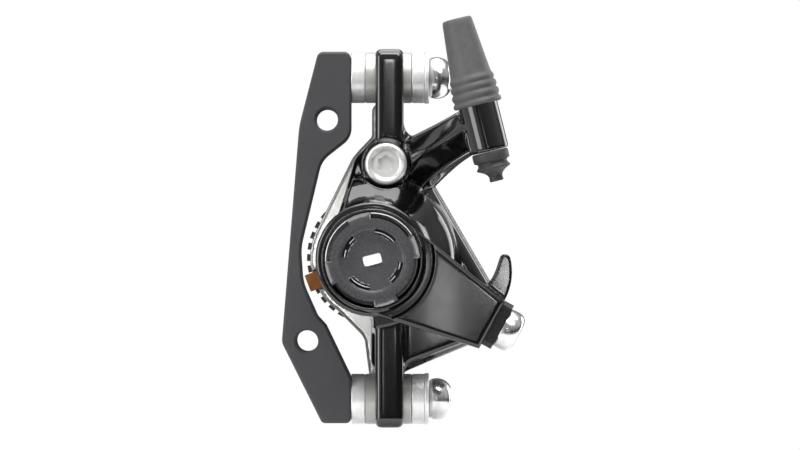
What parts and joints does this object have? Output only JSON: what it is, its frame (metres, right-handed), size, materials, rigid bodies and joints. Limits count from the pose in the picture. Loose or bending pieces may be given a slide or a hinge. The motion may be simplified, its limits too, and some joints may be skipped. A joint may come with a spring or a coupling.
{
  "type": "bicycle disc brake caliper",
  "caption": "cable pulled disc brake caliper on its frame bracket, with a ball ramp torque arm, a cable stop with rubber boots and a knob for each pad",
  "frame": {"origin": "the torque arm's pivot axis, in the middle plane of the rotor slot", "axes": "-Y is outboard, towards the torque arm and the viewer; +Z is along the line of the two caliper bolts, towards the cable boot; +X is away from the wheel's axle"},
  "size_m": [0.0551, 0.0614, 0.0934],
  "materials": {
    "bracket_black": "matte",
    "body_black": "gloss",
    "arm_black": "gloss",
    "bolt_steel": "satin",
    "washer_silver": "satin",
    "washer_grey": "satin",
    "boot_rubber": "matte",
    "spring_steel": "satin",
    "plate_dark": "satin",
    "cam_steel": "satin",
    "ball_steel": "polished",
    "cage_brass": "satin",
    "knob_plastic": "matte",
    "pad_copper": "satin",
    "pad_lining": "rough"
  },
  "bodies": {
    "bracket": {"frame_bracket": "bracket_black", "caliper_bolts": "bolt_steel", "inner_cup_washers": "washer_silver", "inner_ball_washers": "washer_grey", "outer_ball_washers": "washer_grey", "outer_cup_washers": "washer_silver", "flat_washers": "washer_silver"},
    "caliper": {"outboard_body": "body_black", "inboard_body": "body_black", "body_bolts": "bolt_steel", "fixed_cam": "cam_steel", "hub_seal": "boot_rubber", "return_spring": "spring_steel", "pad_spring": "spring_steel", "upper_cable_boot": "boot_rubber", "lower_cable_boot": "boot_rubber"},
    "thrust_carriage": {"thrust_washer": "cam_steel"},
    "arm": {"torque_arm": "arm_black", "drive_cam": "cam_steel", "arm_nut": "bolt_steel", "cable_pinch_plate": "plate_dark", "cable_anchor_bolt": "bolt_steel"},
    "cage": {"ball_cage": "cage_brass", "ramp_balls": "ball_steel"},
    "outboard_adjuster": {"outboard_knob": "knob_plastic", "outboard_screw": "cam_steel"},
    "outboard_pad": {"outboard_foot": "cam_steel", "outboard_pad_plate": "pad_copper", "outboard_friction_pad": "pad_lining"},
    "inboard_adjuster": {"inboard_knob": "knob_plastic", "inboard_screw": "cam_steel"},
    "inboard_pad": {"inboard_foot": "cam_steel", "inboard_pad_plate": "pad_copper", "inboard_friction_pad": "pad_lining"}
  },
  "joints": [
    {"name": "caliper_align", "type": "slide", "parent": "bracket", "child": "caliper", "axis": [0, 1, 0], "range_m": [-0.0014, 0.0014]},
    {"name": "ramp_advance", "type": "slide", "parent": "caliper", "child": "thrust_carriage", "axis": [0, 1, 0], "range_m": [0, 0.001]},
    {"name": "arm_turn", "type": "hinge", "parent": "thrust_carriage", "child": "arm", "pos_m": [0, 0, 0], "axis": [0, -1, 0], "range_deg": [0, 24], "stiffness_Nm_per_rad": 0.25, "springref_deg": -22.92},
    {"name": "ball_cage_turn", "type": "hinge", "parent": "caliper", "child": "cage", "pos_m": [0, 0, 0], "axis": [0, -1, 0], "range_deg": [0, 12]},
    {"name": "outboard_knob_turn", "type": "hinge", "parent": "thrust_carriage", "child": "outboard_adjuster", "pos_m": [0, 0, 0], "axis": [0, -1, 0], "range_deg": [0, 540]},
    {"name": "outboard_pad_advance", "type": "slide", "parent": "thrust_carriage", "child": "outboard_pad", "axis": [0, 1, 0], "range_m": [0, 0.0015]},
    {"name": "inboard_knob_turn", "type": "hinge", "parent": "caliper", "child": "inboard_adjuster", "pos_m": [0, 0, 0], "axis": [0, 1, 0], "range_deg": [0, 864]},
    {"name": "inboard_pad_advance", "type": "slide", "parent": "caliper", "child": "inboard_pad", "axis": [0, -1, 0], "range_m": [0, 0.0024]}
  ],
  "couplings": [
    {"joint": "arm_turn", "follows": "ramp_advance", "rad_per_m": 418.84},
    {"joint": "ball_cage_turn", "follows": "ramp_advance", "rad_per_m": 209.42},
    {"joint": "outboard_knob_turn", "follows": "outboard_pad_advance", "rad_per_m": 6282.6},
    {"joint": "inboard_knob_turn", "follows": "inboard_pad_advance", "rad_per_m": 6282.6}
  ]
}
